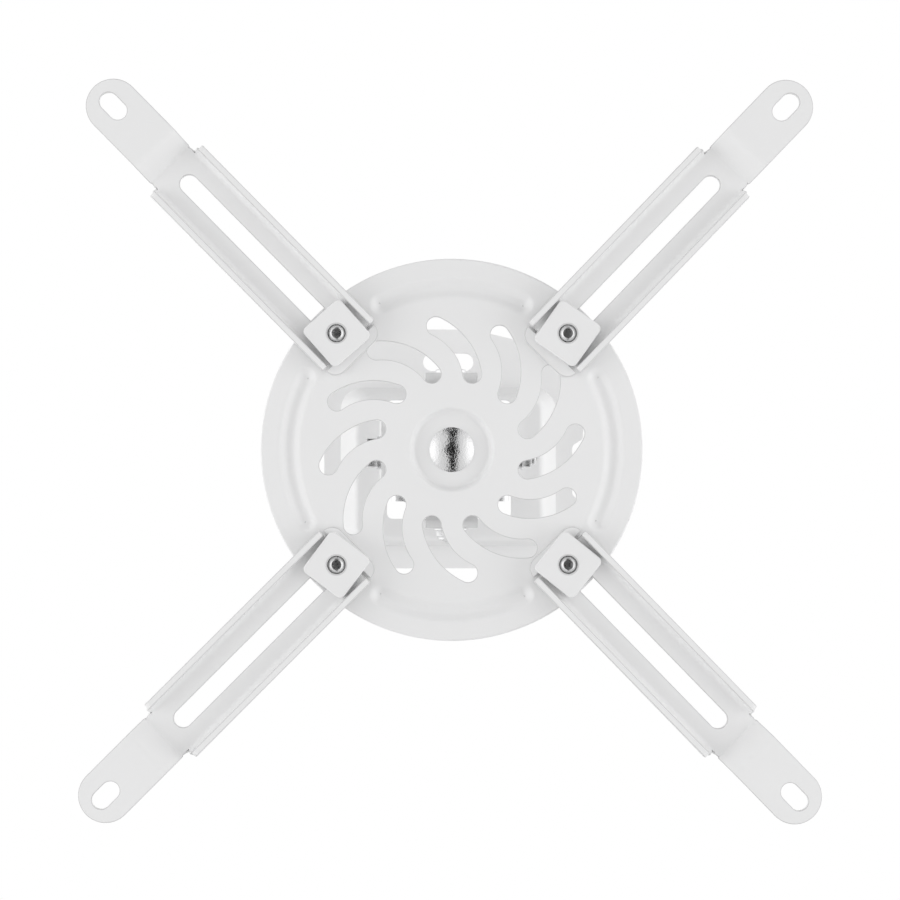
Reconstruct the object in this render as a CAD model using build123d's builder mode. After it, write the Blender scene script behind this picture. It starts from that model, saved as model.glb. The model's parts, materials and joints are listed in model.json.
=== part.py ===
import os
from math import cos, radians, sin, sqrt, tan

from build123d import *

os.makedirs("parts", exist_ok=True)

# Millimetres, +Z up. The ceiling is z = 0 and the swivel axis is the Z axis.
# +Y is the front of the mount and +X its right when it is seen from below.

# Sheet thicknesses
bracket_t = 2.0
cradle_t = 2.0
yoke_t = 2.0
disc_t = 2.0
arm_t = 2.2

# Clearances
running_gap = 0.1
thread_gap = 0.05
washer_gap = 0.2
relief_gap = 1.0

# Pivot bolts, M6, and the swivel bolt, M8
pivot_r = 3.0
pivot_flats = 10.0
pivot_head_h = 4.0
pivot_nut_h = 5.0
pivot_washer_r = 6.0
washer_t = 1.5
bolt_tail = 1.5
roll_washer_t = 0.8
roll_head_r = 5.5
roll_head_h = 1.2
roll_nut_h = 3.8
roll_tail = 0.9
swivel_r = 4.0
swivel_flats = 13.0
swivel_nut_h = 8.0
swivel_washer_r = 8.0
swivel_tail = 1.0
dome_r = 7.8
dome_h = 4.0

# Hexagons: shares of the size across the flats, and of the nut's height
crown_share = 0.485
collar_share = 0.44
nut_hexagon_share = 0.68
collar_edge_r = 0.8

# Nylon washers that hold each pivot where it is set
friction_t = 1.5
friction_r = 7.0
swivel_friction_r = 12.0

# Ceiling bracket: foot plate
foot_half_w = 49.5
foot_rear = 46.0
foot_front = 41.7
foot_rear_flat = 9.0
foot_rear_slope = 13.5
foot_corner_r = 6.0
side_recess = 4.0
side_recess_rear = -3.3
side_recess_front = 15.0
side_recess_flare = 2.5
side_recess_r = 2.0
fixing_slot_l = 18.5
fixing_slot_w = 6.6
fixing_slot_y = -34.0
fixing_hole_r = 2.75
fixing_hole_inset = 5.5
fixing_hole_y = 27.0

# Ceiling bracket: raised platform, its window and its ears
platform_drop = 12.0
platform_half_w = 34.0
platform_rear = 21.0
platform_front = 31.8
platform_corner_r = 5.0
wall_run_side = 5.5
wall_run_rear = 3.5
wall_run_front = 1.7
hump_corner_r = 8.0
platform_edge_r = 2.5
window_rear = 19.5
window_front = 23.6
window_r = 2.0
ear_r = 10.0
ear_root_w = 24.0
ear_fold_l = 6.0
bend_r = 2.0

# Heights of the gimbal below the bracket
pitch_drop = 11.0
cradle_drop = 7.0
roll_drop = 7.0
yoke_drop = 17.0

# Tilt cradle
cradle_half_w = 21.0
cradle_half_l = 18.0
cradle_corner_r = 3.0
flange_r = 9.0
flange_root_w = 35.0
tab_r = 8.0
tab_root_w = 18.0
tab_reach = 23.5

# Hub yoke
yoke_w = 18.0

# Hub disc
disc_r = 66.0
rim_edge_r = 0.6
recess_depth = 2.5
recess_flat_r = 12.4
recess_r = 15.2
groove_r = 56.0
groove_half_w = 4.3
groove_depth = 1.8
groove_span = 52.0
flank_shift = 0.8
swirl_count = 12
swirl_w = 6.4
swirl_inner_r = 27.0
swirl_outer_r = 43.0
swirl_inner_turn = 15.0
swirl_twist = -22.4
swirl_arc_r = 22.0

# Arms: distances along the arm are taken from its clamp screw
clamp_pitch = 56.2
arm_w = 25.0
arm_depth = 7.0
arm_bend_r = 3.4
arm_inner_end = 10.5
arm_inner_corner_r = 4.5
arm_inner_trim = 0.9
flange_start = 5.0
flange_corner_r = 2.0
slot_w = 6.4
slot_start = 1.5
slot_l = 73.15
slot_to_flange_end = 6.0
flange_to_joggle = 3.85
joggle_l = 7.2
joggle_bend_r = 2.6
joggle_to_tip_hole = 19.35
tongue_drop = 6.8
tongue_w = 18.8
tip_hole_w = 6.3
tip_hole_l = 10.7

# Clamps
plate_w = 17.2
plate_t = 4.0
plate_corner_r = 2.0
plate_seat_r = 1.6
plate_edge_r = 0.4
mouth_r = 3.45
mouth_depth = 0.45
screw_tail = 0.6
screw_end_bevel = 1.0

# Where each arm and its clamp plate are set: turned in degrees about the clamp screw, and
# how far the arm is slid outwards along its slot
corners = {
    "rear_left": {"nominal": 225, "arm_angle": 0.45, "plate_angle": 3.0, "arm_slid": -0.6},
    "rear_right": {"nominal": 315, "arm_angle": -1.05, "plate_angle": -9.0, "arm_slid": -1.4},
    "front_right": {"nominal": 45, "arm_angle": 0.8, "plate_angle": -7.0, "arm_slid": 1.0},
    "front_left": {"nominal": 135, "arm_angle": 0.05, "plate_angle": -8.0, "arm_slid": 1.1},
}

# Heights that follow from the sizes above
foot_bottom = -bracket_t
platform_top = -platform_drop
platform_bottom = platform_top - bracket_t
pitch_z = platform_bottom - pitch_drop
cradle_top = pitch_z - cradle_drop
cradle_bottom = cradle_top - cradle_t
roll_z = cradle_bottom - roll_drop
yoke_top = roll_z - yoke_drop
yoke_bottom = yoke_top - yoke_t
boss_top = yoke_bottom - friction_t
recess_z = boss_top - disc_t
disc_top = boss_top - recess_depth
disc_bottom = disc_top - disc_t
web_bottom = disc_bottom - arm_t
arm_bottom = disc_bottom - arm_depth

# Distances that follow from the sizes above, across the gimbal and along the foot and the arms
ear_inner = cradle_half_w + friction_t
ear_outer = ear_inner + bracket_t
yoke_inner = tab_reach + friction_t
yoke_outer = yoke_inner + yoke_t
yoke_ear_r = yoke_w / 2
yoke_web_l = yoke_inner + 2 * relief_gap
fixing_hole_x = foot_half_w - fixing_hole_inset
flange_end = slot_l + slot_to_flange_end
joggle_start = flange_end + flange_to_joggle
joggle_end = joggle_start + joggle_l
tip_hole_at = joggle_end + joggle_to_tip_hole


def keep(name, solid):
    solid.label = name
    export_step(solid, f"parts/{name}.step")


def polar_point(radius, angle):
    return (radius * cos(radians(angle)), radius * sin(radians(angle)))


def side_on(heading):
    return Plane(
        origin=(0, 0, 0),
        x_dir=(cos(radians(heading)), sin(radians(heading)), 0),
        z_dir=(sin(radians(heading)), -cos(radians(heading)), 0),
    )


def end_on(heading):
    return Plane(
        origin=(0, 0, 0),
        x_dir=(-sin(radians(heading)), cos(radians(heading)), 0),
        z_dir=(cos(radians(heading)), sin(radians(heading)), 0),
    )


def folded_tab(heading, start, middle, base_z, pivot_z, end_r, root_w, sheet, hole_r):
    """A round-ended tab folded out of a level sheet, with a bolt hole at its pivot."""
    end_z = pivot_z + (end_r if pivot_z > base_z else -end_r)
    reach = max(start, middle + sheet)
    with BuildPart() as tab:
        with BuildSketch(side_on(heading)):
            with BuildLine():
                FilletPolyline((start, base_z), (middle, base_z), (middle, end_z), radius=bend_r)
            trace(line_width=sheet)
        extrude(amount=root_w / 2, both=True)
        with BuildSketch(end_on(heading)):
            with Locations((0, pivot_z)):
                Circle(end_r)
            with Locations((0, base_z)):
                Rectangle(root_w, sheet)
            make_hull()
        extrude(amount=reach, mode=Mode.INTERSECT)
        with BuildSketch(end_on(heading)):
            with Locations((0, pivot_z)):
                Circle(hole_r)
        extrude(amount=reach, mode=Mode.SUBTRACT)
    return tab.part


def hex_block(seat, flats, height):
    """A hexagon with its outer corners turned off at 30 degrees."""
    with BuildPart() as block:
        with BuildSketch(seat):
            RegularPolygon(flats / 2, 6, major_radius=False)
        extrude(amount=height)
        with BuildSketch(seat.offset(height)):
            Circle(flats * crown_share)
        extrude(amount=-height, taper=-60, mode=Mode.INTERSECT)
    return block.part


def hex_bolt(seat, shank_r, length, flats, head_h):
    """A hexagon bolt whose head sits on the seat and whose shank goes the other way."""
    head = hex_block(seat, flats, head_h)
    with BuildPart() as bolt:
        add(head)
        with BuildSketch(seat):
            Circle(shank_r)
        extrude(amount=-length)
        with BuildSketch(seat.offset(-length)):
            Circle(shank_r)
            Circle(shank_r - screw_end_bevel, mode=Mode.SUBTRACT)
        extrude(amount=screw_end_bevel, taper=-45, mode=Mode.SUBTRACT)
    return bolt.part


def round_bolt(seat, shank_r, length, head_r, head_h):
    """A bolt with a low round head on the seat and a shank that goes the other way."""
    with BuildPart() as bolt:
        with BuildSketch(seat):
            Circle(head_r)
        extrude(amount=head_h)
        fillet(bolt.edges().sort_by(lambda e: height_over(seat, e))[-1], head_h / 2)
        with BuildSketch(seat):
            Circle(shank_r)
        extrude(amount=-length)
        chamfer(bolt.edges().sort_by(lambda e: height_over(seat, e))[0], screw_end_bevel)
    return bolt.part


def height_over(seat, edge):
    return (edge.center(CenterOf.BOUNDING_BOX) - seat.origin).dot(seat.z_dir)


def lock_nut(seat, bolt_r, flats, height):
    """A nut with a rounded collar over its locking ring."""
    block = hex_block(seat, flats, height * nut_hexagon_share)
    with BuildPart() as nut:
        add(block)
        with BuildSketch(seat):
            Circle(flats * collar_share)
        extrude(amount=height)
        top_edge = nut.edges().filter_by(GeomType.CIRCLE).sort_by(lambda e: height_over(seat, e))[-1]
        fillet(top_edge, collar_edge_r)
        with BuildSketch(seat):
            Circle(bolt_r + thread_gap)
        extrude(amount=height, mode=Mode.SUBTRACT)
    return nut.part


def ring(seat, inner_r, outer_r, thickness):
    with BuildPart() as washer:
        with BuildSketch(seat):
            Circle(outer_r)
            Circle(inner_r, mode=Mode.SUBTRACT)
        extrude(amount=thickness)
    return washer.part


# Ceiling bracket: a pressed foot plate with a raised platform and two lanced ears
foot_rear_side = foot_rear - (foot_half_w - foot_rear_flat) * tan(radians(foot_rear_slope))
right_outline = [
    (foot_rear_flat, -foot_rear),
    (foot_half_w, -foot_rear_side),
    (foot_half_w, side_recess_rear - side_recess_flare),
    (foot_half_w - side_recess, side_recess_rear),
    (foot_half_w - side_recess, side_recess_front),
    (foot_half_w, side_recess_front + side_recess_flare),
    (foot_half_w, foot_front),
]
left_outline = [(-x, y) for x, y in reversed(right_outline)]

platform_w = 2 * platform_half_w
platform_l = platform_rear + platform_front
platform_y = (platform_front - platform_rear) / 2
hump_w = platform_w + 2 * wall_run_side
hump_l = platform_l + wall_run_rear + wall_run_front
hump_y = platform_y + (wall_run_front - wall_run_rear) / 2
wall_slope = wall_run_side / platform_drop
wall_inset = 2 * bracket_t * (sqrt(1 + wall_slope**2) - wall_slope)

ears = [
    folded_tab(
        heading,
        ear_outer + ear_fold_l,
        (ear_inner + ear_outer) / 2,
        platform_bottom + bracket_t / 2,
        pitch_z,
        ear_r,
        ear_root_w,
        bracket_t,
        pivot_r + running_gap,
    )
    for heading in (0, 180)
]

with BuildPart() as ceiling_bracket:
    with BuildSketch(Plane.XY.offset(foot_bottom)) as outline:
        with BuildLine():
            Polyline(*right_outline, *left_outline, close=True)
        make_face()
        recess_corners = outline.vertices().sort_by(Axis.Y)[4:12]
        fillet(recess_corners, side_recess_r)
        by_depth = outline.vertices().sort_by(Axis.Y)
        fillet(by_depth[2:4] + by_depth[-2:], foot_corner_r)
        with Locations((0, fixing_slot_y)):
            SlotOverall(fixing_slot_l, fixing_slot_w, mode=Mode.SUBTRACT)
        with Locations((-fixing_hole_x, fixing_hole_y), (fixing_hole_x, fixing_hole_y)):
            Circle(fixing_hole_r, mode=Mode.SUBTRACT)
    extrude(amount=bracket_t)
    with BuildSketch(Plane.XY.offset(foot_bottom)):
        with Locations((0, hump_y)):
            RectangleRounded(hump_w, hump_l, hump_corner_r)
    with BuildSketch(Plane.XY.offset(platform_bottom)):
        with Locations((0, platform_y)):
            RectangleRounded(platform_w, platform_l, platform_corner_r)
    loft()
    fillet(ceiling_bracket.faces().sort_by(Axis.Z)[0].edges(), platform_edge_r)
    with BuildSketch(Plane.XY):
        with Locations((0, hump_y)):
            RectangleRounded(hump_w - wall_inset, hump_l - wall_inset, hump_corner_r)
    with BuildSketch(Plane.XY.offset(platform_top)):
        with Locations((0, platform_y)):
            RectangleRounded(platform_w - wall_inset, platform_l - wall_inset, platform_corner_r)
    loft(mode=Mode.SUBTRACT)
    with BuildSketch(Plane.XY.offset(platform_bottom)):
        with Locations((0, (window_front - window_rear) / 2)):
            RectangleRounded(2 * ear_inner, window_rear + window_front, window_r)
        Rectangle(2 * (ear_outer + bend_r), ear_root_w + 2 * relief_gap)
    extrude(amount=bracket_t, mode=Mode.SUBTRACT)
    add(ears)
keep("ceiling_bracket", ceiling_bracket.part)

# Tilt cradle: two flanges up on the pitch bolt and two tabs down on the roll bolt
cradle_folds = [
    folded_tab(
        heading,
        cradle_half_w / 2,
        cradle_half_w - cradle_t / 2,
        cradle_bottom + cradle_t / 2,
        pitch_z,
        flange_r,
        flange_root_w,
        cradle_t,
        pivot_r + running_gap,
    )
    for heading in (0, 180)
] + [
    folded_tab(
        heading,
        tab_reach / 2,
        tab_reach - cradle_t / 2,
        cradle_bottom + cradle_t / 2,
        roll_z,
        tab_r,
        tab_root_w,
        cradle_t,
        pivot_r + running_gap,
    )
    for heading in (90, 270)
]

with BuildPart() as tilt_cradle:
    with BuildSketch(Plane.XY.offset(cradle_bottom)):
        RectangleRounded(2 * (cradle_half_w - cradle_t - bend_r / 2), 2 * cradle_half_l, cradle_corner_r)
    extrude(amount=cradle_t)
    add(cradle_folds)
keep("tilt_cradle", tilt_cradle.part)

# Hub yoke: a strip folded up at both ends, over the roll bolt
yoke_ears = [
    folded_tab(
        heading,
        yoke_inner / 2,
        (yoke_inner + yoke_outer) / 2,
        yoke_bottom + yoke_t / 2,
        roll_z,
        yoke_ear_r,
        yoke_w,
        yoke_t,
        pivot_r + running_gap,
    )
    for heading in (90, 270)
]

with BuildPart() as hub_yoke:
    with BuildSketch(Plane.XY.offset(yoke_bottom)):
        Rectangle(yoke_w, yoke_web_l)
        Circle(swivel_r + running_gap, mode=Mode.SUBTRACT)
    extrude(amount=yoke_t)
    add(yoke_ears)
keep("hub_yoke", hub_yoke.part)


def seat_facing(heading, distance, height):
    """An upright plane at a distance from the swivel axis that faces away from it."""
    return Plane(
        origin=(*polar_point(distance, heading), height),
        x_dir=(0, 0, 1),
        z_dir=(*polar_point(1, heading), 0),
    )


def pivot_rings(name, heading, outer, inner, height, washer_h, nut_h, sides):
    """The washers, lock nut and nylon washers of a pivot bolt whose nut is on the heading's side."""
    head_side = seat_facing(heading + 180, outer, height)
    nut_side = seat_facing(heading, outer, height)
    bore = pivot_r + thread_gap
    keep(f"{name}_head_washer", ring(head_side, bore, pivot_washer_r, washer_h))
    keep(f"{name}_nut_washer", ring(nut_side, bore, pivot_washer_r, washer_h))
    keep(f"{name}_locknut", lock_nut(nut_side.offset(washer_h), pivot_r, pivot_flats, nut_h))
    for side, turn in zip(sides, (heading + 180, heading)):
        inside = seat_facing(turn, inner - friction_t, height)
        washer = ring(inside, pivot_r + washer_gap, friction_r, friction_t)
        keep(f"{name}_friction_washer_{side}", washer)


# Pitch bolt: a hexagon bolt across the bracket's ears
pitch_seat = seat_facing(180, ear_outer + washer_t, pitch_z)
pitch_l = 2 * (ear_outer + washer_t) + pivot_nut_h + bolt_tail
keep("pitch_bolt", hex_bolt(pitch_seat, pivot_r, pitch_l, pivot_flats, pivot_head_h))
pivot_rings("pitch", 0, ear_outer, ear_inner, pitch_z, washer_t, pivot_nut_h, ("left", "right"))

# Roll bolt: a low round head on the yoke's rear ear, with thinner washers and a thinner nut
roll_seat = seat_facing(270, yoke_outer + roll_washer_t, roll_z)
roll_l = 2 * (yoke_outer + roll_washer_t) + roll_nut_h + roll_tail
keep("roll_bolt", round_bolt(roll_seat, pivot_r, roll_l, roll_head_r, roll_head_h))
pivot_rings("roll", 90, yoke_outer, yoke_inner, roll_z, roll_washer_t, roll_nut_h, ("rear", "front"))

# Swivel bolt: its domed head is sunk in the disc and its nut is inside the yoke
swivel_end = yoke_top + washer_t + swivel_nut_h + swivel_tail
dome_ball_r = (dome_r**2 + dome_h**2) / (2 * dome_h)
dome_bottom = recess_z - dome_h

with BuildPart() as swivel_bolt:
    with BuildSketch(Plane.XZ):
        with BuildLine():
            dome_arc = RadiusArc((0, dome_bottom), (dome_r, recess_z), -dome_ball_r)
            Line(dome_arc @ 1, (0, recess_z))
            Line((0, recess_z), (0, dome_bottom))
        make_face()
    revolve(axis=Axis.Z)
    with BuildSketch(Plane.XY.offset(recess_z)):
        Circle(swivel_r)
    extrude(amount=swivel_end - recess_z)
    chamfer(swivel_bolt.faces().sort_by(Axis.Z)[-1].edges(), screw_end_bevel)
keep("swivel_bolt", swivel_bolt.part)

swivel_bore = swivel_r + thread_gap
friction_seat = Plane.XY.offset(boss_top)
keep("swivel_friction_washer", ring(friction_seat, swivel_r + washer_gap, swivel_friction_r, friction_t))
keep("swivel_washer", ring(Plane.XY.offset(yoke_top), swivel_bore, swivel_washer_r, washer_t))
nut_seat = Plane.XY.offset(yoke_top + washer_t)
keep("swivel_locknut", lock_nut(nut_seat, swivel_r, swivel_flats, swivel_nut_h))


def dished_boss(base_z, rise, flat_r, foot_r):
    """A flat round boss with a soft S-shaped flank."""
    with BuildPart() as boss:
        with BuildSketch(Plane.XZ):
            with BuildLine():
                Spline((foot_r, base_z), (flat_r, base_z + rise), tangents=((-1, 0), (-1, 0)))
                Polyline((flat_r, base_z + rise), (0, base_z + rise), (0, base_z), (foot_r, base_z))
            make_face()
        revolve(axis=Axis.Z)
    return boss.part


def domed_end(base_z, rise, foot_r):
    """A round rise with a soft S-shaped flank up to its middle."""
    with BuildPart() as end:
        with BuildSketch(Plane.XZ):
            with BuildLine():
                Spline((foot_r, base_z), (0, base_z + rise), tangents=((-1, 0), (-1, 0)))
                Polyline((0, base_z + rise), (0, base_z), (foot_r, base_z))
            make_face()
        revolve(axis=Axis.Z)
    return end.part


def arched_rib(base_z, rise, half_w):
    """A soft rib that follows an arc about the swivel axis and has rounded ends."""
    crest = (groove_r, base_z + rise)
    level = ((1, 0), (1, 0))
    rounded = domed_end(base_z, rise, half_w)
    with BuildPart() as rib:
        with BuildSketch(side_on(-groove_span / 2)):
            with BuildLine():
                Spline((groove_r - half_w, base_z), crest, tangents=level)
                Spline(crest, (groove_r + half_w, base_z), tangents=level)
                Line((groove_r + half_w, base_z), (groove_r - half_w, base_z))
            make_face()
        revolve(axis=Axis.Z, revolution_arc=groove_span)
        for angle in (-groove_span / 2, groove_span / 2):
            with Locations((*polar_point(groove_r, angle), 0)):
                add(rounded)
    return rib.part


# Hub disc: pressed and pierced, with a sunk centre, four arched grooves and swirl slots
recess = dished_boss(disc_bottom, recess_depth, recess_flat_r, recess_r)
boss = dished_boss(disc_top, recess_depth, recess_flat_r + flank_shift, recess_r + flank_shift)
groove = arched_rib(disc_bottom, groove_depth, groove_half_w)
ridge = arched_rib(disc_top, groove_depth, groove_half_w + flank_shift)
swirl_start = polar_point(swirl_inner_r, swirl_inner_turn)
swirl_finish = polar_point(swirl_outer_r, swirl_inner_turn + swirl_twist)
swirl_line = RadiusArc(swirl_start, swirl_finish, swirl_arc_r)

with BuildPart() as hub_disc:
    with BuildSketch(Plane.XY.offset(disc_bottom)):
        Circle(disc_r)
    extrude(amount=disc_t)
    fillet(hub_disc.edges().filter_by(GeomType.CIRCLE), rim_edge_r)
    add(boss)
    add(recess, mode=Mode.SUBTRACT)
    with PolarLocations(0, 4):
        add(ridge)
    with PolarLocations(0, 4):
        add(groove, mode=Mode.SUBTRACT)
    with BuildSketch(Plane.XY.offset(disc_bottom)):
        with PolarLocations(0, swirl_count):
            SlotArc(swirl_line, swirl_w)
        with PolarLocations(clamp_pitch, 4, start_angle=45):
            Circle(pivot_r + running_gap)
    extrude(amount=disc_t, mode=Mode.SUBTRACT)
    with BuildSketch(Plane.XY.offset(recess_z)):
        Circle(swivel_r + running_gap)
    extrude(amount=disc_t, mode=Mode.SUBTRACT)
keep("hub_disc", hub_disc.part)

# Arm, drawn along +X from its clamp screw: a folded channel, its inner end and its joggled tongue
web_z = disc_bottom - arm_t / 2
tongue_z = web_z - tongue_drop
tip_r = tongue_w / 2
flange_mid = (arm_w - arm_t) / 2

with BuildPart() as tongue:
    with BuildSketch(Plane.XZ):
        with BuildLine():
            FilletPolyline(
                (slot_l, web_z),
                (joggle_start, web_z),
                (joggle_end, tongue_z),
                (tip_hole_at + tip_r, tongue_z),
                radius=joggle_bend_r,
            )
        trace(line_width=arm_t)
    extrude(amount=tip_r, both=True)
    with BuildSketch(Plane.XY.offset(tongue_z - arm_t)):
        Rectangle(tip_hole_at, tongue_w, align=(Align.MIN, Align.CENTER))
        with Locations((tip_hole_at, 0)):
            Circle(tip_r)
            SlotOverall(tip_hole_l, tip_hole_w, mode=Mode.SUBTRACT)
    extrude(amount=tongue_drop + 2 * arm_t, mode=Mode.INTERSECT)

with BuildPart() as channel:
    with BuildSketch(Plane.YZ.offset(-flange_start)):
        with BuildLine():
            FilletPolyline(
                (-flange_mid, arm_bottom),
                (-flange_mid, web_z),
                (flange_mid, web_z),
                (flange_mid, arm_bottom),
                radius=arm_bend_r,
            )
        trace(line_width=arm_t)
    extrude(amount=flange_start + flange_end)
    fillet(channel.edges().filter_by(Axis.Y).group_by(Axis.Z)[0], flange_corner_r)

with BuildPart() as arm_pattern:
    add(channel.part)
    add(tongue.part)
    with BuildSketch(Plane.XY.offset(web_bottom)) as inner_end:
        with Locations((-arm_inner_end, 0)):
            Rectangle(
                arm_inner_end - flange_start,
                arm_w - 2 * arm_inner_trim,
                align=(Align.MIN, Align.CENTER),
            )
        fillet(inner_end.vertices().group_by(Axis.X)[0], arm_inner_corner_r)
    extrude(amount=arm_t)
    with BuildSketch(Plane.XY.offset(web_bottom)):
        with Locations(((slot_l - slot_start) / 2, 0)):
            SlotCenterToCenter(slot_l + slot_start, slot_w)
    extrude(amount=arm_t, mode=Mode.SUBTRACT)

# Clamp plate, drawn about its screw, with a sunk mouth round the thread
with BuildPart() as plate_pattern:
    with BuildSketch(Plane.XY.offset(web_bottom - plate_t)):
        RectangleRounded(plate_w, plate_w, plate_corner_r)
    extrude(amount=plate_t)
    fillet(plate_pattern.faces().sort_by(Axis.Z)[0].edges(), plate_edge_r)
    fillet(plate_pattern.faces().sort_by(Axis.Z)[-1].edges(), plate_seat_r)
    with BuildSketch(Plane.XY.offset(web_bottom - plate_t)):
        Circle(pivot_r + thread_gap)
    extrude(amount=plate_t, mode=Mode.SUBTRACT)
    with BuildSketch(Plane.XY.offset(web_bottom - plate_t)):
        Circle(mouth_r)
    extrude(amount=mouth_depth, taper=45, mode=Mode.SUBTRACT)

# The four corners: arm, clamp plate, screw and washer
screw_seat = disc_top + washer_t
screw_end = web_bottom - plate_t - screw_tail
for corner, setting in corners.items():
    at = polar_point(clamp_pitch, setting["nominal"])
    heading = setting["nominal"] + setting["arm_angle"]
    along = polar_point(setting["arm_slid"], heading)
    with BuildPart() as arm:
        with Locations(Location((at[0] + along[0], at[1] + along[1], 0), (0, 0, heading))):
            add(arm_pattern.part)
    keep(f"arm_{corner}", arm.part)
    with BuildPart() as clamp_plate:
        with Locations(Location((*at, 0), (0, 0, heading + setting["plate_angle"]))):
            add(plate_pattern.part)
    keep(f"clamp_plate_{corner}", clamp_plate.part)
    head_seat = Plane(origin=(*at, screw_seat), z_dir=(0, 0, 1))
    screw = hex_bolt(head_seat, pivot_r, screw_seat - screw_end, pivot_flats, pivot_head_h)
    keep(f"clamp_screw_{corner}", screw)
    washer_seat = Plane(origin=(*at, disc_top), z_dir=(0, 0, 1))
    keep(f"clamp_washer_{corner}", ring(washer_seat, pivot_r + washer_gap, pivot_washer_r, washer_t))
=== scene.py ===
import json
import math

import bpy
from mathutils import Matrix, Vector

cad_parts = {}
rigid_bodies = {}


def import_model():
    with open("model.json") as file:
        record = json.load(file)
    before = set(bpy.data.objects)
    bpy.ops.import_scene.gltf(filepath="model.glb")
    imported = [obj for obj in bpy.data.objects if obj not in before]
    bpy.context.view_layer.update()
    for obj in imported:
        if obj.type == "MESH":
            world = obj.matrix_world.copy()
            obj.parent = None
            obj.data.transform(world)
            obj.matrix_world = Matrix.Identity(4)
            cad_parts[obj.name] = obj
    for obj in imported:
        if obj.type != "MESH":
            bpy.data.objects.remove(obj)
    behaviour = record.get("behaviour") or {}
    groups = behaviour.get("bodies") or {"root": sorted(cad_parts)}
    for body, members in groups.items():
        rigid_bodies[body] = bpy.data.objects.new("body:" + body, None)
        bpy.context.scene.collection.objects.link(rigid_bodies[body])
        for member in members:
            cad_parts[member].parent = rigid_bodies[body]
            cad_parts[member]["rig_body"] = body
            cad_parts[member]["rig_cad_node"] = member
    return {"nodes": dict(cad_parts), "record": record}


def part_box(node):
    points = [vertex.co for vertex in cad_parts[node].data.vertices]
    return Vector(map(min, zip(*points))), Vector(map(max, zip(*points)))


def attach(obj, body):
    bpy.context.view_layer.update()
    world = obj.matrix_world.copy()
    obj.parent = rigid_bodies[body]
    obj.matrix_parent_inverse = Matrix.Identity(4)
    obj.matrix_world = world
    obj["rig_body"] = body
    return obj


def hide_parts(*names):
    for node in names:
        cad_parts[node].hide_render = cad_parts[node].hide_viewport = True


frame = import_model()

nodes = frame["nodes"]
bodyOfNode = {n: body for body, names in frame["record"]["behaviour"]["bodies"].items() for n in names}
slotOfNode = {row["node"]: row["material_slot"] for row in frame["record"]["subparts"]}
cornerNames = ["rear_left", "rear_right", "front_right", "front_left"]
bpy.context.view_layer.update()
mm = 0.001
weld = {"fine": 0.000002, "drawn": 0.000004, "cuts": 0.00003}  # metres
print("frame loaded with", len(nodes), "nodes")


def backToObjectMode():
    if bpy.context.object and bpy.context.object.mode != "OBJECT":
        bpy.ops.object.mode_set(mode="OBJECT")
    bpy.ops.object.select_all(action="DESELECT")


def pick(piece):
    backToObjectMode()
    piece.select_set(True)
    bpy.context.view_layer.objects.active = piece


def settle(piece):  # place and turn go into the mesh
    pick(piece)
    bpy.ops.object.transform_apply(location=True, rotation=True, scale=True)


def addModifier(piece, kind, **settings):
    pick(piece)
    modifier = piece.modifiers.new(kind.title(), kind)
    for name, value in settings.items():
        setattr(modifier, name, value)
    bpy.ops.object.modifier_apply(modifier=modifier.name)


def facing(heading):
    return Vector((math.cos(math.radians(heading)), math.sin(math.radians(heading)), 0))


def newGroup(name, inputs, outputs):
    group = bpy.data.node_groups.new(name, "ShaderNodeTree")
    for label, value in inputs.items():
        socket = group.interface.new_socket(label, in_out="INPUT", socket_type="NodeSocketFloat")
        socket.default_value = value
    for label, kind in outputs.items():
        group.interface.new_socket(label, in_out="OUTPUT", socket_type=kind)
    return group, group.nodes.new("NodeGroupInput"), group.nodes.new("NodeGroupOutput")


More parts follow.
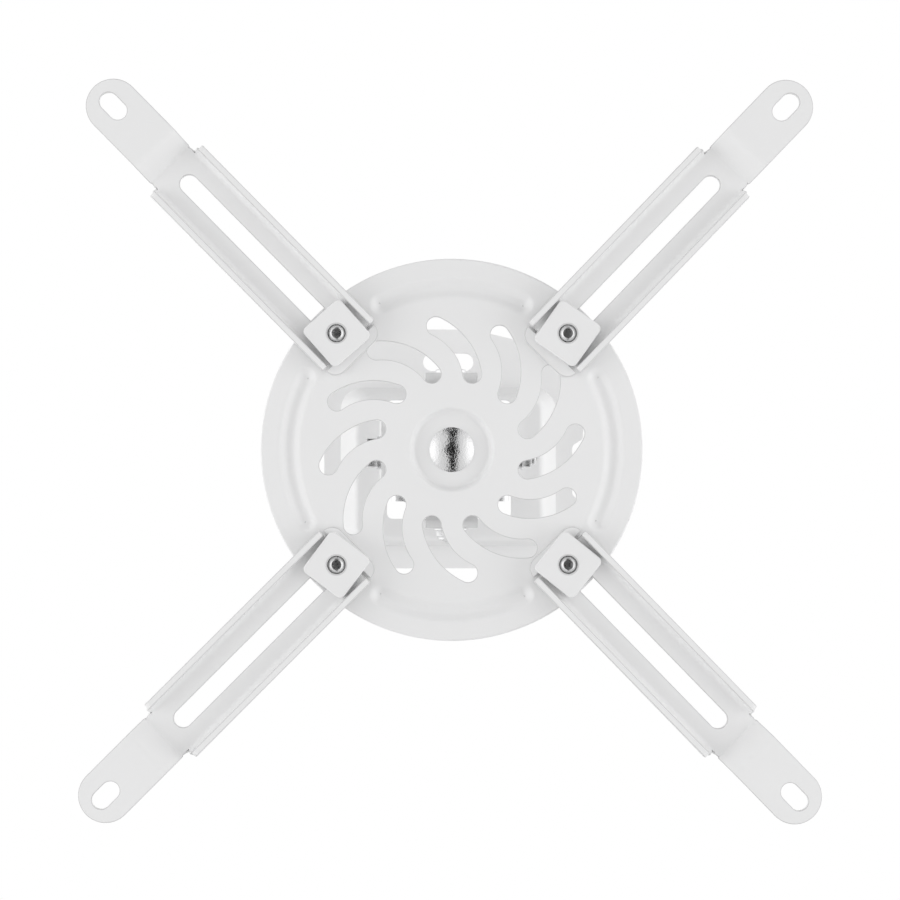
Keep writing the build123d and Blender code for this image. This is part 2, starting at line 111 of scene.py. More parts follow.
def orangePeelGroup():  # fine pebbled skin of baked powder, plus painted shade darkening the bevelled edges
    group, given, made = newGroup(
        "orange_peel",
        {"Grain Size": 900.0, "Relief": 0.1, "Gloss Low": 0.38, "Gloss High": 0.5, "Edge": 0.2},
        {"Normal": "NodeSocketVector", "Roughness": "NodeSocketFloat", "Shade": "NodeSocketFloat"},
    )
    add, link = group.nodes.new, group.links.new
    place = add("ShaderNodeTexCoord")
    pebbles = add("ShaderNodeTexNoise")
    pebbles.inputs["Detail"].default_value = 2.5
    pebbles.inputs["Roughness"].default_value = 0.45
    link(place.outputs["Object"], pebbles.inputs["Vector"])
    link(given.outputs["Grain Size"], pebbles.inputs["Scale"])
    drift = add("ShaderNodeTexNoise")
    drift.inputs["Scale"].default_value = 45.0
    drift.inputs["Detail"].default_value = 3.0
    link(place.outputs["Object"], drift.inputs["Vector"])
    bump = add("ShaderNodeBump")
    bump.inputs["Distance"].default_value = 0.00004
    link(given.outputs["Relief"], bump.inputs["Strength"])
    link(pebbles.outputs["Fac"], bump.inputs["Height"])
    gloss = add("ShaderNodeMapRange")
    link(drift.outputs["Fac"], gloss.inputs["Value"])
    link(given.outputs["Gloss Low"], gloss.inputs["To Min"])
    link(given.outputs["Gloss High"], gloss.inputs["To Max"])
    shade = add("ShaderNodeMapRange")
    shade.inputs["From Min"].default_value = 0.3
    shade.inputs["From Max"].default_value = 0.7
    shade.inputs["To Min"].default_value = 0.985
    link(drift.outputs["Fac"], shade.inputs["Value"])
    edgeShadeMark = add("ShaderNodeAttribute")  # painted shade: bevel strips darkened to draw shaded lines along the edges
    edgeShadeMark.attribute_name = "painted_edge_shade"
    edgeShadeAmount = add("ShaderNodeMath")
    edgeShadeAmount.operation = "MULTIPLY"
    link(edgeShadeMark.outputs["Fac"], edgeShadeAmount.inputs[0])
    link(given.outputs["Edge"], edgeShadeAmount.inputs[1])
    toneAndEdgeShade = add("ShaderNodeMath")
    toneAndEdgeShade.operation = "SUBTRACT"
    link(shade.outputs["Result"], toneAndEdgeShade.inputs[0])
    link(edgeShadeAmount.outputs["Value"], toneAndEdgeShade.inputs[1])
    link(bump.outputs["Normal"], made.inputs["Normal"])
    link(gloss.outputs["Result"], made.inputs["Roughness"])
    link(toneAndEdgeShade.outputs["Value"], made.inputs["Shade"])
    return group


def platingGroup():  # drawn streaks and small pits under a plated layer
    group, given, made = newGroup(
        "plating",
        {"Streak Size": 700.0, "Relief": 0.1, "Gloss Low": 0.2, "Gloss High": 0.4},
        {"Normal": "NodeSocketVector", "Roughness": "NodeSocketFloat", "Shade": "NodeSocketFloat"},
    )
    add, link = group.nodes.new, group.links.new
    place = add("ShaderNodeTexCoord")
    streaks = add("ShaderNodeTexNoise")
    streaks.inputs["Detail"].default_value = 4.0
    streaks.inputs["Distortion"].default_value = 0.4
    link(place.outputs["Object"], streaks.inputs["Vector"])
    link(given.outputs["Streak Size"], streaks.inputs["Scale"])
    flakes = add("ShaderNodeTexVoronoi")
    flakes.inputs["Scale"].default_value = 420.0
    link(place.outputs["Object"], flakes.inputs["Vector"])
    both = add("ShaderNodeMath")
    both.operation = "MULTIPLY_ADD"
    both.inputs[1].default_value = 0.25
    link(flakes.outputs["Distance"], both.inputs[0])
    link(streaks.outputs["Fac"], both.inputs[2])
    bump = add("ShaderNodeBump")
    bump.inputs["Distance"].default_value = 0.00012
    link(given.outputs["Relief"], bump.inputs["Strength"])
    link(both.outputs["Value"], bump.inputs["Height"])
    gloss = add("ShaderNodeMapRange")
    link(streaks.outputs["Fac"], gloss.inputs["Value"])
    link(given.outputs["Gloss Low"], gloss.inputs["To Min"])
    link(given.outputs["Gloss High"], gloss.inputs["To Max"])
    shade = add("ShaderNodeMapRange")
    shade.inputs["To Min"].default_value = 0.9
    link(streaks.outputs["Fac"], shade.inputs["Value"])
    link(bump.outputs["Normal"], made.inputs["Normal"])
    link(gloss.outputs["Result"], made.inputs["Roughness"])
    link(shade.outputs["Result"], made.inputs["Shade"])
    return group


def makeFinish(name, settings, group):
    finish = bpy.data.materials.new(name)
    finish.use_nodes = True
    tree = finish.node_tree
    shader = tree.nodes["Principled BSDF"]
    for label, value in settings["shader"].items():
        shader.inputs[label].default_value = value
    skin = tree.nodes.new("ShaderNodeGroup")
    skin.node_tree = group
    for label, value in settings["skin"].items():
        skin.inputs[label].default_value = value
    tint = tree.nodes.new("ShaderNodeMix")
    tint.data_type = "RGBA"
    tint.inputs[6].default_value = (*settings["dark"], 1)
    tint.inputs[7].default_value = (*settings["colour"], 1)
    tree.links.new(skin.outputs["Shade"], tint.inputs[0])
    tree.links.new(tint.outputs[2], shader.inputs["Base Color"])
    tree.links.new(skin.outputs["Roughness"], shader.inputs["Roughness"])
    tree.links.new(skin.outputs["Normal"], shader.inputs["Normal"])
    return finish


finishLooks = {
    "white_powder_coat": {
        "colour": (0.866, 0.866, 0.868), "dark": (0.6, 0.6, 0.6),
        # Edge sets how far the painted edge shade darkens the bevel strips
        "skin": {"Grain Size": 950.0, "Relief": 0.22, "Gloss Low": 0.4, "Gloss High": 0.52, "Edge": 0.7},
        "shader": {"Specular IOR Level": 0.42, "Coat Weight": 0.04},
    },
    "zinc_plate": {
        "colour": (0.92, 0.922, 0.925), "dark": (0.5, 0.5, 0.51),
        "skin": {"Streak Size": 1300.0, "Relief": 0.3, "Gloss Low": 0.2, "Gloss High": 0.38},
        "shader": {"Metallic": 1.0},
    },
    "chrome": {
        "colour": (0.94, 0.94, 0.945), "dark": (0.7, 0.7, 0.7),
        "skin": {"Streak Size": 1700.0, "Relief": 0.9, "Gloss Low": 0.03, "Gloss High": 0.07},
        "shader": {"Metallic": 1.0},
    },
    "nylon": {
        "colour": (0.86, 0.85, 0.8), "dark": (0.6, 0.6, 0.55),
        "skin": {"Grain Size": 1500.0, "Relief": 0.12, "Gloss Low": 0.42, "Gloss High": 0.55, "Edge": 0.1},
        "shader": {"Subsurface Weight": 0.1, "Subsurface Scale": 0.001},
    },
}
orangePeel, plating = orangePeelGroup(), platingGroup()
finishes = {
    name: makeFinish(name, looks, plating if "Streak Size" in looks["skin"] else orangePeel)
    for name, looks in finishLooks.items()
}
print("finishes made:", ", ".join(finishes))


def dress(piece, body, slot, *stoodFor):
    piece.data.materials.clear()
    piece.data.materials.append(finishes[slot])
    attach(piece, body)
    if stoodFor:
        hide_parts(*stoodFor)


# marks the new strips for the painted edge shade, a darker line standing in for the shade along edges; with
# a cutAngle, only steeper edges are rounded, at full width
def roundEdges(piece, width, angle, cutAngle=None):
    while len(piece.data.materials) < 2:
        piece.data.materials.append(None)
    addModifier(piece, "BEVEL", width=width * mm, segments=2, limit_method="ANGLE", material=1,
                angle_limit=math.radians(cutAngle or angle), use_clamp_overlap=cutAngle is None)
    # the bevel strips carry the painted edge shade
    strips = piece.data.attributes.new("painted_edge_shade", "FLOAT", "FACE")
    for face, strip in zip(piece.data.polygons, strips.data):
        strip.value = face.material_index
        face.material_index = 0
    piece.data.materials.clear()
    pick(piece)
    bpy.ops.object.shade_smooth_by_angle(angle=math.radians(angle))
    addModifier(piece, "WEIGHTED_NORMAL", keep_sharp=True)


# sheet metal and washers: the CAD forms with rounded, painted edges
edgeWork = {
    "flatAngle": 0.4,
    "sharpAngle": 32,
    "cutAngles": {"hub_disc": 70},  # only its cut edges are rounded, not the pressed grooves
    "widths": {"hub_disc": 0.25, "ceiling_bracket": 0.35, "hub_yoke": 0.3, "tilt_cradle": 0.3,
               "clamp_plate": 0.25, "clamp_washer": 0.15},
    "plainWidth": 0.12,
}


def roundedCopy(node, width):
    piece = nodes[node].copy()
    piece.data = nodes[node].data.copy()
    piece.name = node + "_formed"
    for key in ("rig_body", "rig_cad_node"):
        del piece[key]
    piece.parent = None
    bpy.context.scene.collection.objects.link(piece)
    pick(piece)
    bpy.ops.object.mode_set(mode="EDIT")
    bpy.ops.mesh.select_all(action="SELECT")
    bpy.ops.mesh.remove_doubles(threshold=weld["fine"])
    bpy.ops.mesh.dissolve_limited(angle_limit=math.radians(edgeWork["flatAngle"]))
    bpy.ops.object.mode_set(mode="OBJECT")
    piece.data.materials.clear()
    for face in piece.data.polygons:
        face.material_index = 0
    roundEdges(piece, width, edgeWork["sharpAngle"], edgeWork["cutAngles"].get(node))
    dress(piece, bodyOfNode[node], slotOfNode[node], node)


ownNodes = [n for n in nodes if n.endswith(("_bolt", "_locknut")) or n.startswith(("clamp_screw", "arm_"))]
for node in sorted(set(nodes) - set(ownNodes)):
    kind = next((k for k in edgeWork["widths"] if node.startswith(k)), None)
    roundedCopy(node, edgeWork["widths"].get(kind, edgeWork["plainWidth"]))
print("sheet metal formed")


arm = {  # mm along the arm from its clamp screw, as cut flat and then folded
    "sheet": 2.2, "height": -67.1, "flat": 8.0, "bend": 3.4, "flange": 2.5, "bendSteps": 9,
    "innerEnd": -10.5, "innerHalf": 11.6, "innerCorner": 4.5, "flangeStart": -5.0, "slit": 1.0,
    "flangeEnd": 79.15, "blend": 1.6, "corner": 2.0, "tongueHalf": 9.4, "neck": 0.35,
    "joggleStart": 83.0, "joggleRun": 7.2, "joggleDrop": 6.8, "joggleBend": 2.6, "joggleSteps": 6,
    "slotFrom": -1.5, "slotTo": 73.15, "slotHalf": 3.2,
    "tipSlot": 109.55, "tipSlotL": 10.7, "tipSlotHalf": 3.15,
    "notchRound": 0.6, "neckShape": ((-1.5, 0), (-0.8, 0.5), (0.16, 1), (0.8, 0.5), (1.5, 0)),
    "edge": 0.3, "smoothAngle": 40, "cutAngle": 70, "flatAngle": 0.2, "clampPitch": 56.2,
    "set": {"rear_left": (225, 0.45, -0.6), "rear_right": (315, -1.05, -1.4),
            "front_right": (45, 0.8, 1.0), "front_left": (135, 0.05, 1.1)},  # corner, turn, slide
}


def arc(middle, radius, start, end, steps):
    spread = [math.radians(start + (end - start) * step / steps) for step in range(steps + 1)]
    return [(middle[0] + radius * math.cos(turn), middle[1] + radius * math.sin(turn)) for turn in spread]


def trace(points):  # a closed line of single points, extruded one after the other
    bpy.ops.mesh.select_all(action="DESELECT")
    bpy.ops.mesh.primitive_plane_add(size=mm)
    bpy.ops.mesh.merge(type="CENTER")
    here = Vector((*points[0], 0)) * mm
    bpy.ops.transform.translate(value=here)
    for point in points[1:] + points[:1]:
        there = Vector((*point, 0)) * mm
        bpy.ops.mesh.extrude_vertices_move(TRANSFORM_OT_translate={"value": there - here})
        here = there


def makeArmBlank():
    a = arm
    wide = a["flat"] + a["bend"] * math.pi / 2 + a["flange"]
    tilt = math.atan2(a["joggleDrop"], a["joggleRun"])
    tangent = a["joggleBend"] * math.tan(tilt / 2)
    bendLength = a["joggleBend"] * tilt
    slope = math.hypot(a["joggleRun"], a["joggleDrop"]) - 2 * tangent
    bendOne = a["joggleStart"] - tangent
    bendTwo = bendOne + bendLength + slope
    stretch = bendTwo + bendLength - (a["joggleStart"] + a["joggleRun"] + tangent)
    tip = a["tipSlot"] + stretch
    inner = (a["innerEnd"] + a["innerCorner"], a["innerHalf"] - a["innerCorner"])
    half = arc(inner, a["innerCorner"], 180, 90, 8)
    half += [(a["flangeStart"] - a["slit"], a["innerHalf"]), (a["flangeStart"] - a["slit"], a["flat"]),
             (a["flangeStart"], a["flat"])]
    half += arc((a["flangeStart"] + a["corner"], wide - a["corner"]), a["corner"], 180, 90, 6)
    half += arc((a["flangeEnd"] - a["corner"], wide - a["corner"]), a["corner"], 90, 0, 6)
    notch = a["notchRound"]
    half += arc((a["flangeEnd"] + a["neck"] + notch, a["tongueHalf"] + notch), notch, 180, 270, 4)
    for along, share in a["neckShape"]:
        half.append((bendOne + along, a["tongueHalf"] - a["neck"] * share))
    half += arc((tip, 0), a["tongueHalf"], 90, 0, 14)
    outline = half + [(along, -across) for along, across in reversed(half[:-1])]
    backToObjectMode()
    bpy.ops.mesh.primitive_plane_add(size=mm)
    blank = bpy.context.object
    blank.name = "arm_blank"
    bpy.ops.object.mode_set(mode="EDIT")
    bpy.ops.mesh.select_all(action="SELECT")
    bpy.ops.mesh.delete(type="VERT")
    trace(outline)
    tipLow = tip - a["tipSlotL"] / 2 + a["tipSlotHalf"]
    tipHigh = tip + a["tipSlotL"] / 2 - a["tipSlotHalf"]
    slots = ((a["slotFrom"], a["slotTo"], a["slotHalf"]), (tipLow, tipHigh, a["tipSlotHalf"]))
    for low, high, radius in slots:
        trace(arc((low, 0), radius, 90, 270, 14) + arc((high, 0), radius, -90, 90, 14))
    bpy.ops.mesh.select_all(action="SELECT")
    bpy.ops.mesh.remove_doubles(threshold=weld["drawn"])
    bpy.ops.mesh.fill(use_beauty=True)
    bpy.ops.mesh.select_all(action="SELECT")
    bpy.ops.mesh.dissolve_limited(angle_limit=math.radians(a["flatAngle"]))
    alongX, alongY = (1, 0, 0), (0, 1, 0)
    cuts = []
    for side in (-1, 1):
        for step in range(a["bendSteps"] + 1):
            across = a["flat"] + a["bend"] * math.pi / 2 * step / a["bendSteps"]
            cuts.append((across * side, alongY))
    for start in (bendOne, bendTwo):
        for step in range(a["joggleSteps"] + 1):
            cuts.append((start + bendLength * step / a["joggleSteps"], alongX))
    cuts += [(a["flangeEnd"], alongX), (a["flangeEnd"] + a["blend"], alongX)]
    for place, line in cuts:
        bpy.ops.mesh.select_all(action="SELECT")
        bpy.ops.mesh.bisect(plane_co=Vector(line) * place * mm, plane_no=line)
        bpy.ops.mesh.select_all(action="SELECT")
        bpy.ops.mesh.remove_doubles(threshold=weld["cuts"])
    bpy.ops.object.mode_set(mode="OBJECT")

    for vertex in blank.data.vertices:  # the flanges fold down, then the tongue steps down
        along, across = vertex.co.x / mm, vertex.co.y / mm
        side = 1 if across > 0 else -1
        over = abs(across) - a["flat"]
        drop = 0
        if over > 0 and along > a["flangeStart"] - a["slit"] / 2:
            folded = min(over / a["bend"], math.pi / 2)
            hang = max(0, over - a["bend"] * math.pi / 2)
            strength = max(0, min(1, 1 - (along - a["flangeEnd"]) / a["blend"]))
            drop = -(a["bend"] * (1 - math.cos(folded)) + hang) * strength
            across = side * (a["flat"] + over + (a["bend"] * math.sin(folded) - over) * strength)
        if along > bendOne:
            first = max(0, min(bendLength, along - bendOne))
            run = max(0, min(slope, along - bendOne - bendLength))
            second = max(0, min(bendLength, along - bendTwo))
            downTurn = first / a["joggleBend"]
            upTurn = tilt - second / a["joggleBend"]
            level = max(0, along - bendTwo - bendLength)
            x = bendOne + a["joggleBend"] * math.sin(downTurn) + run * math.cos(tilt) + level
            x += a["joggleBend"] * (math.sin(tilt) - math.sin(upTurn))
            drop -= a["joggleBend"] * (1 - math.cos(downTurn)) + run * math.sin(tilt)
            drop -= a["joggleBend"] * (math.cos(upTurn) - math.cos(tilt))
            along = x
        vertex.co = Vector((along, across, a["height"] + drop)) * mm

    addModifier(blank, "SOLIDIFY", thickness=a["sheet"] * mm, offset=0, use_even_offset=True)
    pick(blank)
    bpy.ops.object.mode_set(mode="EDIT")
    bpy.ops.mesh.select_all(action="SELECT")
    bpy.ops.mesh.dissolve_limited(angle_limit=math.radians(a["flatAngle"]))
    bpy.ops.mesh.normals_make_consistent(inside=False)
    bpy.ops.object.mode_set(mode="OBJECT")
    roundEdges(blank, a["edge"], a["smoothAngle"], a["cutAngle"])
    return blank


armBlank = makeArmBlank()
for corner, (nominal, turn, slid) in arm["set"].items():
    piece = armBlank.copy()
    piece.data = armBlank.data.copy()
    piece.name = f"arm_{corner}_formed"
    bpy.context.scene.collection.objects.link(piece)
    piece.location = (facing(nominal) * arm["clampPitch"] + facing(nominal + turn) * slid) * mm
    piece.rotation_euler.z = math.radians(nominal + turn)
    settle(piece)
    dress(piece, f"arm_{corner}", "white_powder_coat", f"arm_{corner}")
bpy.data.objects.remove(armBlank)
print("arms cut, folded and set")


fasteners = {
    "turns": 40, "threadSteps": 20, "ridgeHalf": 0.44, "smoothAngle": 35,
    "edge": 0.12, "shankEdge": 0.05, "collarEdge": 0.03,
    "M6": {"major": 2.97, "core": 2.46, "pitch": 1.0, "flats": 10.0},
    "M8": {"major": 3.97, "core": 3.36, "pitch": 1.25, "flats": 13.0},
    "crownShare": 0.485, "coneShare": 0.75, "crownAngle": 30,
    "tip": 1.15, "tipGroove": 0.35, "tipStep": 0.08, "root": 0.5, "runout": 0.4,
    "collarShare": 0.44, "hexagonShare": 0.68, "bore": 0.08,
    "over": 1, "skin": 0.001,  # how far a cutting body reaches past what it cuts
}


def turned(name, outline):  # (radius, height) points in mm, spun about the Z axis
    backToObjectMode()
    bpy.ops.mesh.primitive_plane_add(size=mm)
    piece = bpy.context.object
    piece.name = name
    bpy.ops.object.mode_set(mode="EDIT")
    bpy.ops.mesh.select_all(action="SELECT")
    bpy.ops.mesh.merge(type="CENTER")
    here = Vector((0, 0, 0))
    for radius, height in outline:
        there = Vector((radius, 0, height)) * mm
        if here.length == 0:
            bpy.ops.transform.translate(value=there)
        else:
            bpy.ops.mesh.extrude_vertices_move(TRANSFORM_OT_translate={"value": there - here})
        here = there
    bpy.ops.mesh.select_all(action="SELECT")
    bpy.ops.mesh.spin(steps=fasteners["turns"], angle=math.tau, center=(0, 0, 0), axis=(0, 0, 1))
    bpy.ops.mesh.select_all(action="SELECT")
    bpy.ops.mesh.remove_doubles(threshold=weld["drawn"])
    bpy.ops.mesh.normals_make_consistent(inside=False)
    bpy.ops.object.mode_set(mode="OBJECT")
    return piece


def threadRidge(size, start, end):  # one helical ridge, stopping short of the tip
    backToObjectMode()
    reach = size["major"] - size["core"]
    bpy.ops.mesh.primitive_circle_add(vertices=4, radius=reach * mm, rotation=(math.pi / 2, 0, 0),
                                      location=(size["core"] * mm, 0, (start + size["pitch"] / 2) * mm))
    ridge = bpy.context.object
    ridge.scale.y = fasteners["ridgeHalf"] * size["pitch"] / reach
    settle(ridge)
    addModifier(ridge, "SCREW", axis="Z", angle=math.tau, screw_offset=size["pitch"] * mm,
                iterations=int((end - start) / size["pitch"] - 0.5), steps=fasteners["threadSteps"],
                render_steps=fasteners["threadSteps"])
    pick(ridge)
    bpy.ops.object.mode_set(mode="EDIT")
    bpy.ops.mesh.select_all(action="SELECT")
    bpy.ops.mesh.remove_doubles(threshold=weld["fine"])
    bpy.ops.mesh.fill_holes(sides=8)
    bpy.ops.mesh.normals_make_consistent(inside=False)
    bpy.ops.object.mode_set(mode="OBJECT")
    return ridge


def hexagon(flats, low, high, crowned):
    backToObjectMode()
    bpy.ops.mesh.primitive_cylinder_add(
        vertices=6, radius=flats / math.sqrt(3) * mm, depth=(high - low) * mm,
        location=(0, 0, (low + high) / 2 * mm), rotation=(0, 0, math.pi / 6))
    block = bpy.context.object
    settle(block)
    crown = flats * fasteners["crownShare"]
    wide = flats * fasteners["coneShare"]
    drop = (wide - crown) * math.tan(math.radians(fasteners["crownAngle"]))
    over, skin = fasteners["over"], fasteners["skin"]
    if crowned == "low":
        cone = turned("crown", [
            (0, high + over), (wide, high + over), (wide, low + drop), (crown, low - skin),
            (0, low - skin),
        ])
    else:
        cone = turned("crown", [
            (0, high + skin), (crown, high + skin), (wide, high - drop), (wide, low - over),
            (0, low - over),
        ])
    addModifier(block, "BOOLEAN", operation="INTERSECT", object=cone, solver="EXACT")
    bpy.data.objects.remove(cone)
    return block


def joined(name, *pieces):
    backToObjectMode()
    for piece in pieces:
        piece.select_set(True)
    bpy.context.view_layer.objects.active = pieces[0]
    bpy.ops.object.join()
    pieces[0].name = name
    return pieces[0]


def finishTurned(piece, edge):
    addModifier(piece, "BEVEL", width=edge * mm, segments=2, limit_method="ANGLE",
                angle_limit=math.radians(fasteners["smoothAngle"]), use_clamp_overlap=True)
    pick(piece)
    bpy.ops.object.shade_smooth_by_angle(angle=math.radians(fasteners["smoothAngle"]))


def stand(piece, place, along, side):  # +Z goes along the bolt and +X to the side
    across = along.cross(side)
    turn = Matrix((side, across, along)).transposed().to_4x4()
    piece.matrix_world = Matrix.Translation(place) @ turn
    settle(piece)


def shank(size, length, threaded):  # from the seat at 0 to the tip
    thread = length - threaded
    tip, root = fasteners["tip"], -fasteners["root"]
    tipRadius = size["major"] - fasteners["tipStep"]
    core = turned("shank", [
        (0, root), (size["major"], root), (size["major"], thread),
        (size["core"], thread + fasteners["runout"]), (size["core"], length - tip - fasteners["tipGroove"]),
        (tipRadius, length - tip), (tipRadius - tip, length), (0, length),
    ])
    return core, threadRidge(size, thread, length - tip)


def hexBolt(node, size, headHeight, threaded, place, along, side):
    low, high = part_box(node)
    whole = (Vector(high) - Vector(low)).dot(Vector([abs(v) for v in along])) / mm
    head = hexagon(size["flats"], -headHeight, 0, "low")
    finishTurned(head, fasteners["edge"])
    core, ridge = shank(size, whole - headHeight, threaded)
    finishTurned(core, fasteners["shankEdge"])
    bolt = joined(node + "_formed", head, core, ridge)
    stand(bolt, place, along, side)
    dress(bolt, bodyOfNode[node], slotOfNode[node], node)


def lockNut(node, size, height, place, along, side):
    body = hexagon(size["flats"], 0, height * fasteners["hexagonShare"], "high")
    bore = size["major"] + fasteners["bore"]
    over, skin = fasteners["over"], fasteners["skin"]
    drill = turned("drill", [
        (0, -over), (bore + 1.4, -over), (bore + 0.4, -skin), (bore, 0.4), (bore, height + over),
        (0, height + over),
    ])
    addModifier(body, "BOOLEAN", operation="DIFFERENCE", object=drill, solver="EXACT")
    bpy.data.objects.remove(drill)
    finishTurned(body, fasteners["edge"])
    outer = size["flats"] * fasteners["collarShare"]
    foot = height * fasteners["hexagonShare"] - 0.2
    lip = bore + 0.22 * (outer - bore)
    collar = turned("collar", [
        (outer, foot), (outer, height - 0.9), (outer - 0.1, height - 0.55), (outer - 0.35, height - 0.22),
        (outer - 0.7, height - 0.04), (lip + 0.1, height), (lip, height - 0.12), (lip, height - 0.5),
        (outer - 0.4, height - 0.8), (outer - 0.4, foot), (outer, foot),
    ])
    finishTurned(collar, fasteners["collarEdge"])
    nut = joined(node + "_formed", body, collar)
    stand(nut, place, along, side)
    dress(nut, bodyOfNode[node], slotOfNode[node], node)
    ring = turned(node + "_locking_ring", [
        (bore, foot), (outer - 0.42, foot), (outer - 0.42, height - 0.8), (lip + 0.02, height - 0.45),
        (lip - 0.1, height - 0.3), (bore + 0.05, height - 0.42), (bore, height - 0.6), (bore, foot),
    ])
    finishTurned(ring, fasteners["collarEdge"])
    stand(ring, place, along, side)
    dress(ring, bodyOfNode[node], "nylon")


upright = Vector((0, 0, 1))
right = Vector((1, 0, 0))
front = Vector((0, 1, 0))


def middle(node):
    low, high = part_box(node)
    return (Vector(low) + Vector(high)) / 2


def faceOf(node, along, far):  # the middle of the washer's face that the head or nut sits on
    low, high = (Vector(corner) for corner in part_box(node))
    half = (high - low).dot(Vector([abs(v) for v in along])) / 2
    return middle(node) + along * half * (1 if far else -1)


pitchHead = faceOf("pitch_head_washer", right, False)
hexBolt("pitch_bolt", fasteners["M6"], 4.0, 20.0, pitchHead, right, upright)
lockNut("pitch_locknut", fasteners["M6"], 5.0, faceOf("pitch_nut_washer", right, True), right, upright)
lockNut("roll_locknut", fasteners["M6"], 3.8, faceOf("roll_nut_washer", front, True), front, upright)
lockNut("swivel_locknut", fasteners["M8"], 8.0, faceOf("swivel_washer", upright, True), upright, right)
for corner in cornerNames:
    screwSeat = faceOf("clamp_washer_" + corner, upright, True)
    hexBolt("clamp_screw_" + corner, fasteners["M6"], 4.0, 9.0, screwSeat, -upright, right)

rollHead = {
    "radius": 5.5, "height": 1.2, "round": 0.6, "driveRadius": 2.0, "driveDepth": 0.7,
    "edge": 0.04, "threaded": 14.0,
}


def makeRollBolt():
    low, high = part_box("roll_bolt")
    length = (high[1] - low[1]) / mm - rollHead["height"]
    wide, tall, soft = rollHead["radius"], rollHead["height"], rollHead["round"]
    drive, deep = rollHead["driveRadius"], rollHead["driveDepth"]
    head = turned("head", [
        (0, deep - tall), (drive * 0.9, deep - tall), (drive, deep - tall - 0.1), (drive, -tall + 0.1),
        (drive + 0.15, -tall), (wide - soft, -tall), (wide - 0.17, -tall + 0.17), (wide, -tall + soft),
        (wide, 0), (0, 0),
    ])
    finishTurned(head, rollHead["edge"])
    core, ridge = shank(fasteners["M6"], length, rollHead["threaded"])
    finishTurned(core, fasteners["shankEdge"])
    bolt = joined("roll_bolt_formed", head, core, ridge)
    stand(bolt, faceOf("roll_head_washer", front, False), front, upright)
    dress(bolt, bodyOfNode["roll_bolt"], slotOfNode["roll_bolt"], "roll_bolt")


dome = {"radius": 7.8, "height": 2.8, "seat": -63.5, "rings": 18, "rimLand": 0.12,
        "edge": 0.03, "threaded": 11.0}


def makeSwivelBolt():  # its domed head is the bright button in the middle
    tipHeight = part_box("swivel_bolt")[1][2] / mm
    seat, wide, tall = dome["seat"], dome["radius"], dome["height"]
    ball = (wide ** 2 + tall ** 2) / (2 * tall)
    reach = math.asin(wide / ball)
    slants = [reach * step / dome["rings"] for step in range(dome["rings"] + 1)]
    outline = [(ball * math.sin(slant), -tall + ball - ball * math.cos(slant)) for slant in slants]
    outline[-1] = (wide, -dome["rimLand"])
    head = turned("head", outline + [(wide, 0), (0, 0)])
    finishTurned(head, dome["edge"])
    length = tipHeight - seat
    core, ridge = shank(fasteners["M8"], length, dome["threaded"])
    finishTurned(core, fasteners["shankEdge"])
    bolt = joined("swivel_bolt_formed", head, core, ridge)
    stand(bolt, Vector((0, 0, seat * mm)), upright, right)
    dress(bolt, bodyOfNode["swivel_bolt"], slotOfNode["swivel_bolt"], "swivel_bolt")


makeRollBolt()
makeSwivelBolt()
print("bolts, nuts and screws turned")


studio = {
    "cameraPlace": (-0.021, 0.030, -1.066), "aim": (-0.0007, 0.0002, -0.066), "lens": 116.0,
    "sensor": 36, "clipStart": 0.01,
    "roomLight": 0.74, "background": 1.0,
    "lamps": {  # place, size, watts
        "left_lamp": ((-1.2, 0.1, -0.5), 1.2, 6.5),
        "right_lamp": ((1.2, 0.1, -0.5), 1.2, 6.5),
        "top_lamp": ((0.3, -0.4, 1.2), 0.9, 4.5),
    },
    "lampAim": (0, 0, -0.06),
    "floorHeight": -2.2, "floorSize": 14,
}


def makeCamera():
    backToObjectMode()
    ahead = (Vector(studio["aim"]) - Vector(studio["cameraPlace"])).normalized()
    aside = (right - ahead * ahead.dot(right)).normalized()
    turn = Matrix((aside, -ahead.cross(aside), -ahead)).transposed()
    bpy.ops.object.camera_add(location=studio["cameraPlace"], rotation=turn.to_euler())
    camera = bpy.context.object
    camera.name = "photo_camera"
    camera.data.lens = studio["lens"]
    camera.data.sensor_width = studio["sensor"]
    camera.data.clip_start = studio["clipStart"]
    bpy.context.scene.camera = camera


def makeLamps():
    for name, (place, size, power) in studio["lamps"].items():
        backToObjectMode()
        bpy.ops.object.light_add(type="AREA", location=place)
        lamp = bpy.context.object
        lamp.name = name
        lamp.data.shape = "DISK"
        lamp.data.size = size
        lamp.data.energy = power
        ahead = Vector(studio["lampAim"]) - Vector(place)
        lamp.rotation_euler = ahead.to_track_quat("-Z", "Y").to_euler()
        lamp.visible_glossy = False  # metal reflects the room instead


def makeFloor():
    backToObjectMode()
    bpy.ops.mesh.primitive_grid_add(x_subdivisions=8, y_subdivisions=8, size=studio["floorSize"],
                                    location=(0, 0, studio["floorHeight"]))
    floor = bpy.context.object
    floor.name = "pale_floor"
    paint = bpy.data.materials.new("pale_floor_paint")
    paint.use_nodes = True
    tree = paint.node_tree
    shader = tree.nodes["Principled BSDF"]
    shader.inputs["Base Color"].default_value = (0.9, 0.9, 0.9, 1)
    shader.inputs["Roughness"].default_value = 0.8
    clear = tree.nodes.new("ShaderNodeBsdfTransparent")
    path = tree.nodes.new("ShaderNodeLightPath")
    mix = tree.nodes.new("ShaderNodeMixShader")
    tree.links.new(path.outputs["Is Glossy Ray"], mix.inputs[0])
    tree.links.new(shader.outputs[0], mix.inputs[1])
    tree.links.new(clear.outputs[0], mix.inputs[2])
    tree.links.new(mix.outputs[0], tree.nodes["Material Output"].inputs["Surface"])
    floor.data.materials.append(paint)
    settle(floor)


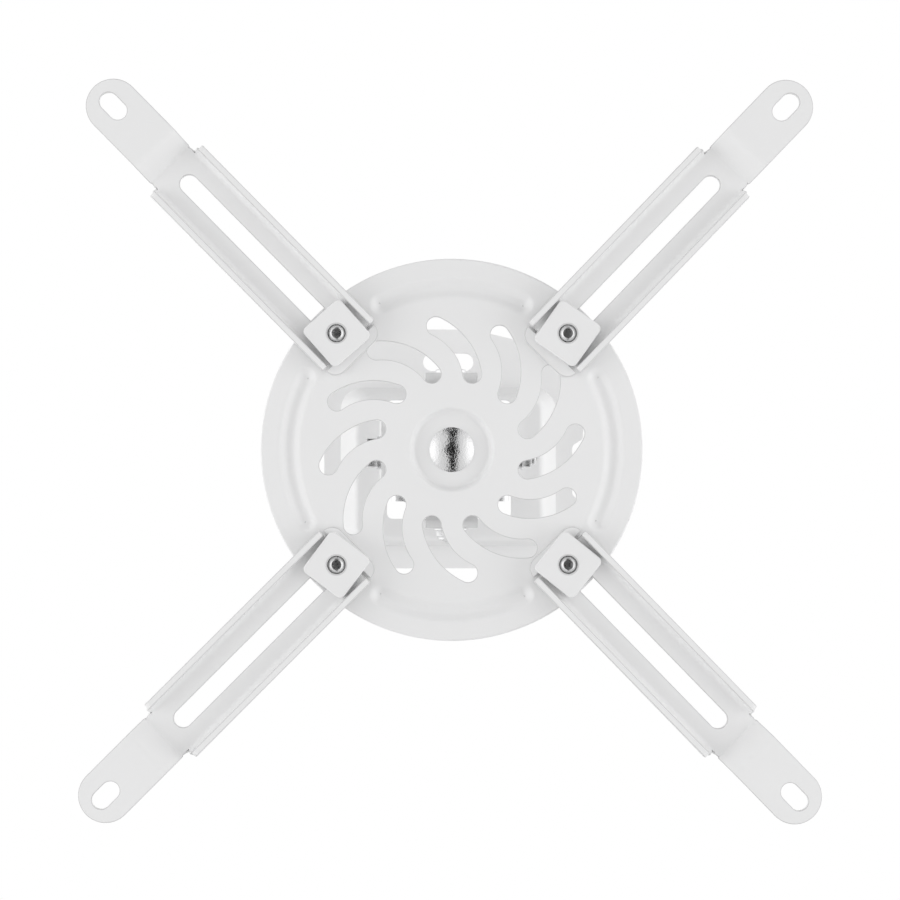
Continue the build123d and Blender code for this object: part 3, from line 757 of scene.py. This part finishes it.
roomView = {  # what polished metal shows, in shares of a full dome seen from below
    "wall": 0.66, "stand": 0.012, "standMiddle": 0.03, "standHalfWidth": 0.105, "standSoftness": 0.008,
    "topFrom": 0.44, "topTo": 0.6, "topWiden": 0.15, "ringFrom": 0.165, "ringTo": 0.2,
    "wobble": 0.2, "wobbleScale": 26.0,
    "boxes": 1.25, "boxFrom": 0.24, "boxTo": 0.62, "boxHalfHeight": 0.4, "boxSoftness": 0.25,
}


def makeWorld():
    view = roomView
    world = bpy.data.worlds.new("soft_studio")
    bpy.context.scene.world = world
    world.use_nodes = True
    tree = world.node_tree
    add, link = tree.nodes.new, tree.links.new

    def sums(operation, first, second=None):
        node = add("ShaderNodeMath")
        node.operation = operation
        for socket, value in zip(node.inputs, (first, second)):
            if value is None:
                continue
            if isinstance(value, (int, float)):
                socket.default_value = value
            else:
                link(value, socket)
        return node.outputs["Value"]

    def ramp(value, start, end):  # 0 before start, 1 after end
        node = add("ShaderNodeMapRange")
        node.interpolation_type = "SMOOTHSTEP"
        node.inputs["From Min"].default_value = start
        node.inputs["From Max"].default_value = end
        link(value, node.inputs["Value"])
        return node.outputs["Result"]

    place = add("ShaderNodeTexCoord")
    half = add("ShaderNodeVectorMath")
    half.operation = "SUBTRACT"
    half.inputs[1].default_value = (0, 0, 1)
    link(place.outputs["Generated"], half.inputs[0])
    unit = add("ShaderNodeVectorMath")
    unit.operation = "NORMALIZE"
    link(half.outputs["Vector"], unit.inputs[0])
    split = add("ShaderNodeSeparateXYZ")
    link(unit.outputs["Vector"], split.inputs["Vector"])
    wobble = add("ShaderNodeTexNoise")
    wobble.inputs["Scale"].default_value = view["wobbleScale"]
    wobble.inputs["Detail"].default_value = 3.0
    link(unit.outputs["Vector"], wobble.inputs["Vector"])
    edge = sums("MULTIPLY_ADD", wobble.outputs["Fac"], view["wobble"])
    edge.node.inputs[2].default_value = -view["wobble"] / 2
    shifted = sums("ADD", split.outputs["X"], edge)
    across = sums("ABSOLUTE", sums("SUBTRACT", shifted, view["standMiddle"]))
    upwards = sums("MULTIPLY", split.outputs["Y"], -1.0)
    widened = sums("MULTIPLY", ramp(upwards, view["topFrom"], view["topTo"]), view["topWiden"])
    band = ramp(sums("SUBTRACT", across, widened), view["standHalfWidth"] - view["standSoftness"],
                view["standHalfWidth"] + view["standSoftness"])
    aside = sums("SQRT", sums("SUBTRACT", 1.0, sums("MULTIPLY", split.outputs["Z"], split.outputs["Z"])))
    ring = ramp(sums("ADD", aside, edge), view["ringFrom"], view["ringTo"])
    wall = sums("MULTIPLY", band, ring)
    boxSide = ramp(sums("ABSOLUTE", split.outputs["X"]), view["boxFrom"], view["boxTo"])
    boxEnd = ramp(sums("ABSOLUTE", split.outputs["Y"]), view["boxHalfHeight"] - view["boxSoftness"],
                  view["boxHalfHeight"] + view["boxSoftness"])
    boxes = sums("MULTIPLY", boxSide, sums("SUBTRACT", 1.0, boxEnd))
    shade = sums("MULTIPLY_ADD", wall, view["wall"] - view["stand"])
    shade.node.inputs[2].default_value = view["stand"]
    total = sums("MULTIPLY_ADD", boxes, view["boxes"] - view["wall"])
    link(shade, total.node.inputs[2])
    light = tree.nodes["Background"]
    light.inputs["Color"].default_value = (1, 1, 1, 1)
    light.inputs["Strength"].default_value = studio["roomLight"]
    shiny = add("ShaderNodeBackground")
    link(total, shiny.inputs["Strength"])
    seen = add("ShaderNodeBackground")
    seen.inputs["Strength"].default_value = studio["background"]
    for node in (shiny, seen):
        node.inputs["Color"].default_value = (1, 1, 1, 1)
    path = add("ShaderNodeLightPath")
    forMetal = add("ShaderNodeMixShader")
    link(path.outputs["Is Glossy Ray"], forMetal.inputs[0])
    link(light.outputs[0], forMetal.inputs[1])
    link(shiny.outputs[0], forMetal.inputs[2])
    mix = add("ShaderNodeMixShader")
    link(path.outputs["Is Camera Ray"], mix.inputs[0])
    link(forMetal.outputs[0], mix.inputs[1])
    link(seen.outputs[0], mix.inputs[2])
    link(mix.outputs[0], tree.nodes["World Output"].inputs["Surface"])


makeCamera()
makeLamps()
makeFloor()
makeWorld()
bpy.context.scene.view_settings.view_transform = "Standard"
print("studio lit")
